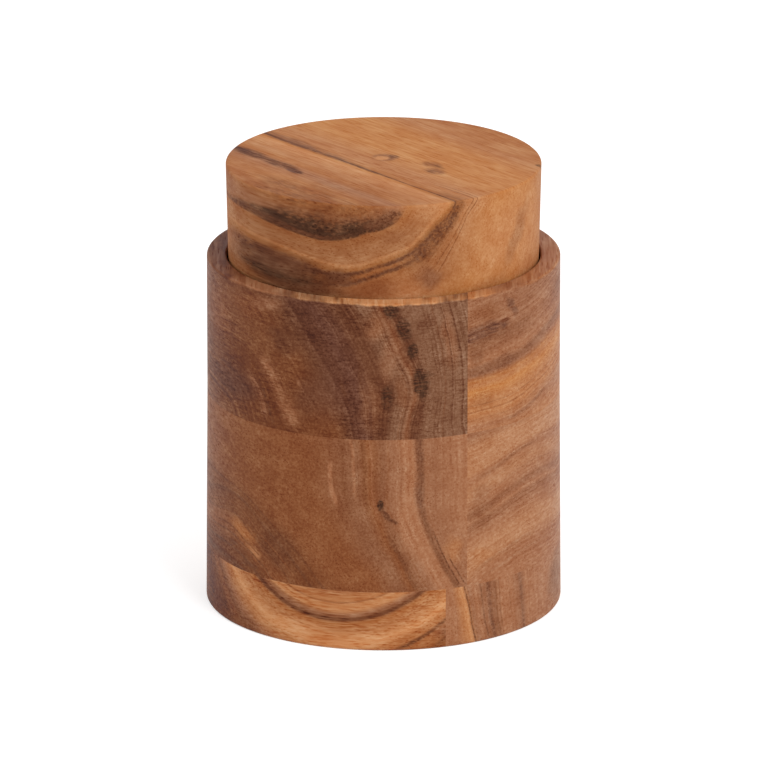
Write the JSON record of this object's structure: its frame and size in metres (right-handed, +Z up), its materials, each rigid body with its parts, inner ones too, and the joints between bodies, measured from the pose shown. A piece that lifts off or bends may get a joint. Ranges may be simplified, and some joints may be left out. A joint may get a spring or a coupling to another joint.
{
  "type": "storage jar",
  "caption": "Round wooden storage jar glued up from blocks and turned, with a bored cavity and a thick solid lid that drops into the mouth onto a shoulder.",
  "frame": {"origin": "centre of the underside, on the turning axis", "axes": "+Z up along the turning axis, +X to the right and -Y towards the viewer of the picture"},
  "size_m": [0.1286, 0.1286, 0.1634],
  "materials": {
    "base_left_wood": "oiled satin",
    "base_right_wood": "oiled satin",
    "middle_left_wood": "oiled satin",
    "middle_right_wood": "oiled satin",
    "upper_left_wood": "oiled satin",
    "upper_right_wood": "oiled satin",
    "lid_wood": "oiled satin"
  },
  "bodies": {
    "jar": {"base_board_left": "base_left_wood", "base_board_right": "base_right_wood", "middle_block_left": "middle_left_wood", "middle_block_right": "middle_right_wood", "upper_block_left": "upper_left_wood", "upper_block_right": "upper_right_wood"},
    "lid": {"lid": "lid_wood"}
  },
  "joints": [
    {"name": "lid_lift", "type": "slide", "parent": "jar", "child": "lid", "axis": [0, 0, 1], "range_m": [0, 0.15]}
  ]
}
